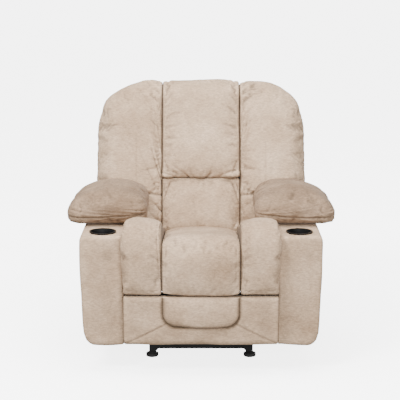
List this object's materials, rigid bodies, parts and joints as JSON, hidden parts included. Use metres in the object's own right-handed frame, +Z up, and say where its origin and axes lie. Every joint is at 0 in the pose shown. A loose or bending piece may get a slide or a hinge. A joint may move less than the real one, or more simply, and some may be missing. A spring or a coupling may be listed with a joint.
{
  "type": "recliner armchair",
  "caption": "Upholstered living-room recliner with pillow arms, sunken cup holders, a folding footrest on scissor links, a hinged channel back and a pull release handle.",
  "frame": {"origin": "on the floor under the centre of the overall bounding box", "axes": "+X to the left hand of a person sitting in it, -Y towards the front of the seat, +Z up"},
  "size_m": [1.02, 0.9093, 1.0104],
  "materials": {
    "arm_board_left": "matte",
    "arm_board_right": "matte",
    "arm_cover_left": "matte",
    "arm_cover_right": "matte",
    "arm_mount_left": "matte",
    "arm_mount_right": "matte",
    "arm_pad_left": "matte",
    "arm_pad_right": "matte",
    "back_bracket_left": "satin",
    "back_bracket_right": "satin",
    "back_outer_panel": "matte",
    "back_post_left": "matte",
    "back_post_right": "matte",
    "back_rail_low": "matte",
    "back_rail_top": "matte",
    "back_support": "matte",
    "back_wing_left": "matte",
    "back_wing_right": "matte",
    "base_front_frame": "satin",
    "base_rail_left": "satin",
    "base_rail_right": "satin",
    "base_rear_frame": "satin",
    "cross_tube_front": "satin",
    "cross_tube_rear": "satin",
    "cup_holder_left": "gloss",
    "cup_holder_right": "gloss",
    "foot_front_left": "matte",
    "foot_front_right": "matte",
    "foot_rear_left": "matte",
    "foot_rear_right": "matte",
    "footrest_board": "matte",
    "footrest_bracket_left": "satin",
    "footrest_bracket_right": "satin",
    "footrest_pad": "matte",
    "footrest_tongue": "matte",
    "handle_bezel": "gloss",
    "handle_pin": "satin",
    "headrest_cushion": "matte",
    "link_a_left": "satin",
    "link_a_right": "satin",
    "link_b_left": "satin",
    "link_b_right": "satin",
    "link_c_left": "satin",
    "link_c_right": "satin",
    "link_d_left": "satin",
    "link_d_right": "satin",
    "lumbar_cushion": "matte",
    "release_handle": "gloss",
    "seat_bolster_left": "matte",
    "seat_bolster_right": "matte",
    "seat_centre_cushion": "matte",
    "seat_deck": "matte",
    "seat_rail_front": "matte",
    "seat_rail_left": "matte",
    "seat_rail_rear": "matte",
    "seat_rail_right": "matte",
    "side_plate_left": "satin",
    "side_plate_right": "satin",
    "torque_tube": "satin"
  },
  "bodies": {
    "base": {"arm_board_left": "arm_board_left", "arm_board_right": "arm_board_right", "arm_cover_left": "arm_cover_left", "arm_cover_right": "arm_cover_right", "arm_mount_left": "arm_mount_left", "arm_mount_right": "arm_mount_right", "arm_pad_left": "arm_pad_left", "arm_pad_right": "arm_pad_right", "base_front_frame": "base_front_frame", "base_rail_left": "base_rail_left", "base_rail_right": "base_rail_right", "base_rear_frame": "base_rear_frame", "cross_tube_front": "cross_tube_front", "cross_tube_rear": "cross_tube_rear", "cup_holder_left": "cup_holder_left", "cup_holder_right": "cup_holder_right", "foot_front_left": "foot_front_left", "foot_front_right": "foot_front_right", "foot_rear_left": "foot_rear_left", "foot_rear_right": "foot_rear_right", "handle_bezel": "handle_bezel", "handle_pin": "handle_pin", "seat_bolster_left": "seat_bolster_left", "seat_bolster_right": "seat_bolster_right", "seat_centre_cushion": "seat_centre_cushion", "seat_deck": "seat_deck", "seat_rail_front": "seat_rail_front", "seat_rail_left": "seat_rail_left", "seat_rail_rear": "seat_rail_rear", "seat_rail_right": "seat_rail_right", "side_plate_left": "side_plate_left", "side_plate_right": "side_plate_right"},
    "link_a": {"link_a_left": "link_a_left", "link_a_right": "link_a_right", "torque_tube": "torque_tube"},
    "link_b": {"link_b_left": "link_b_left", "link_b_right": "link_b_right"},
    "link_c": {"link_c_left": "link_c_left", "link_c_right": "link_c_right"},
    "link_d": {"link_d_left": "link_d_left", "link_d_right": "link_d_right"},
    "footrest": {"footrest_bracket_left": "footrest_bracket_left", "footrest_bracket_right": "footrest_bracket_right", "footrest_board": "footrest_board", "footrest_pad": "footrest_pad", "footrest_tongue": "footrest_tongue"},
    "back": {"back_bracket_left": "back_bracket_left", "back_bracket_right": "back_bracket_right", "back_post_left": "back_post_left", "back_post_right": "back_post_right", "back_wing_left": "back_wing_left", "back_wing_right": "back_wing_right", "back_rail_top": "back_rail_top", "back_rail_low": "back_rail_low", "back_support": "back_support", "headrest_cushion": "headrest_cushion", "lumbar_cushion": "lumbar_cushion", "back_outer_panel": "back_outer_panel"},
    "handle": {"release_handle": "release_handle"}
  },
  "joints": [
    {"name": "footrest_drive", "type": "hinge", "parent": "base", "child": "link_a", "pos_m": [0, -0.226, 0.2538], "axis": [-1, 0, 0], "range_deg": [0, 129]},
    {"name": "link_c_pivot", "type": "hinge", "parent": "link_a", "child": "link_c", "pos_m": [0, -0.1106, 0.1016], "axis": [-1, 0, 0], "range_deg": [-130.65, 0.5]},
    {"name": "footrest_pivot", "type": "hinge", "parent": "link_c", "child": "footrest", "pos_m": [0, -0.3682, 0.2456], "axis": [-1, 0, 0], "range_deg": [-0.5, 91.65]},
    {"name": "link_b_pivot", "type": "hinge", "parent": "base", "child": "link_b", "pos_m": [0, -0.2828, 0.2815], "axis": [-1, 0, 0], "range_deg": [-0.5, 130.13]},
    {"name": "link_d_pivot", "type": "hinge", "parent": "link_b", "child": "link_d", "pos_m": [0, -0.15234, 0.1425], "axis": [-1, 0, 0], "range_deg": [-135.95, 0.5]},
    {"name": "back_recline", "type": "hinge", "parent": "base", "child": "back", "pos_m": [0, 0.1454, 0.28], "axis": [-1, 0, 0], "range_deg": [0, 35]},
    {"name": "release_handle_pivot", "type": "hinge", "parent": "base", "child": "handle", "pos_m": [-0.44, -0.1146, 0.376], "axis": [0, 1, 0], "range_deg": [0, 35], "stiffness_Nm_per_rad": 0.25, "springref_deg": -11.46}
  ],
  "couplings": [
    {"joint": "link_c_pivot", "follows": "footrest_drive", "ratio": -1.0089},
    {"joint": "footrest_pivot", "follows": "footrest_drive", "ratio": 0.70659},
    {"joint": "link_b_pivot", "follows": "footrest_drive", "ratio": 1.0049},
    {"joint": "link_d_pivot", "follows": "footrest_drive", "ratio": -1.05}
  ]
}
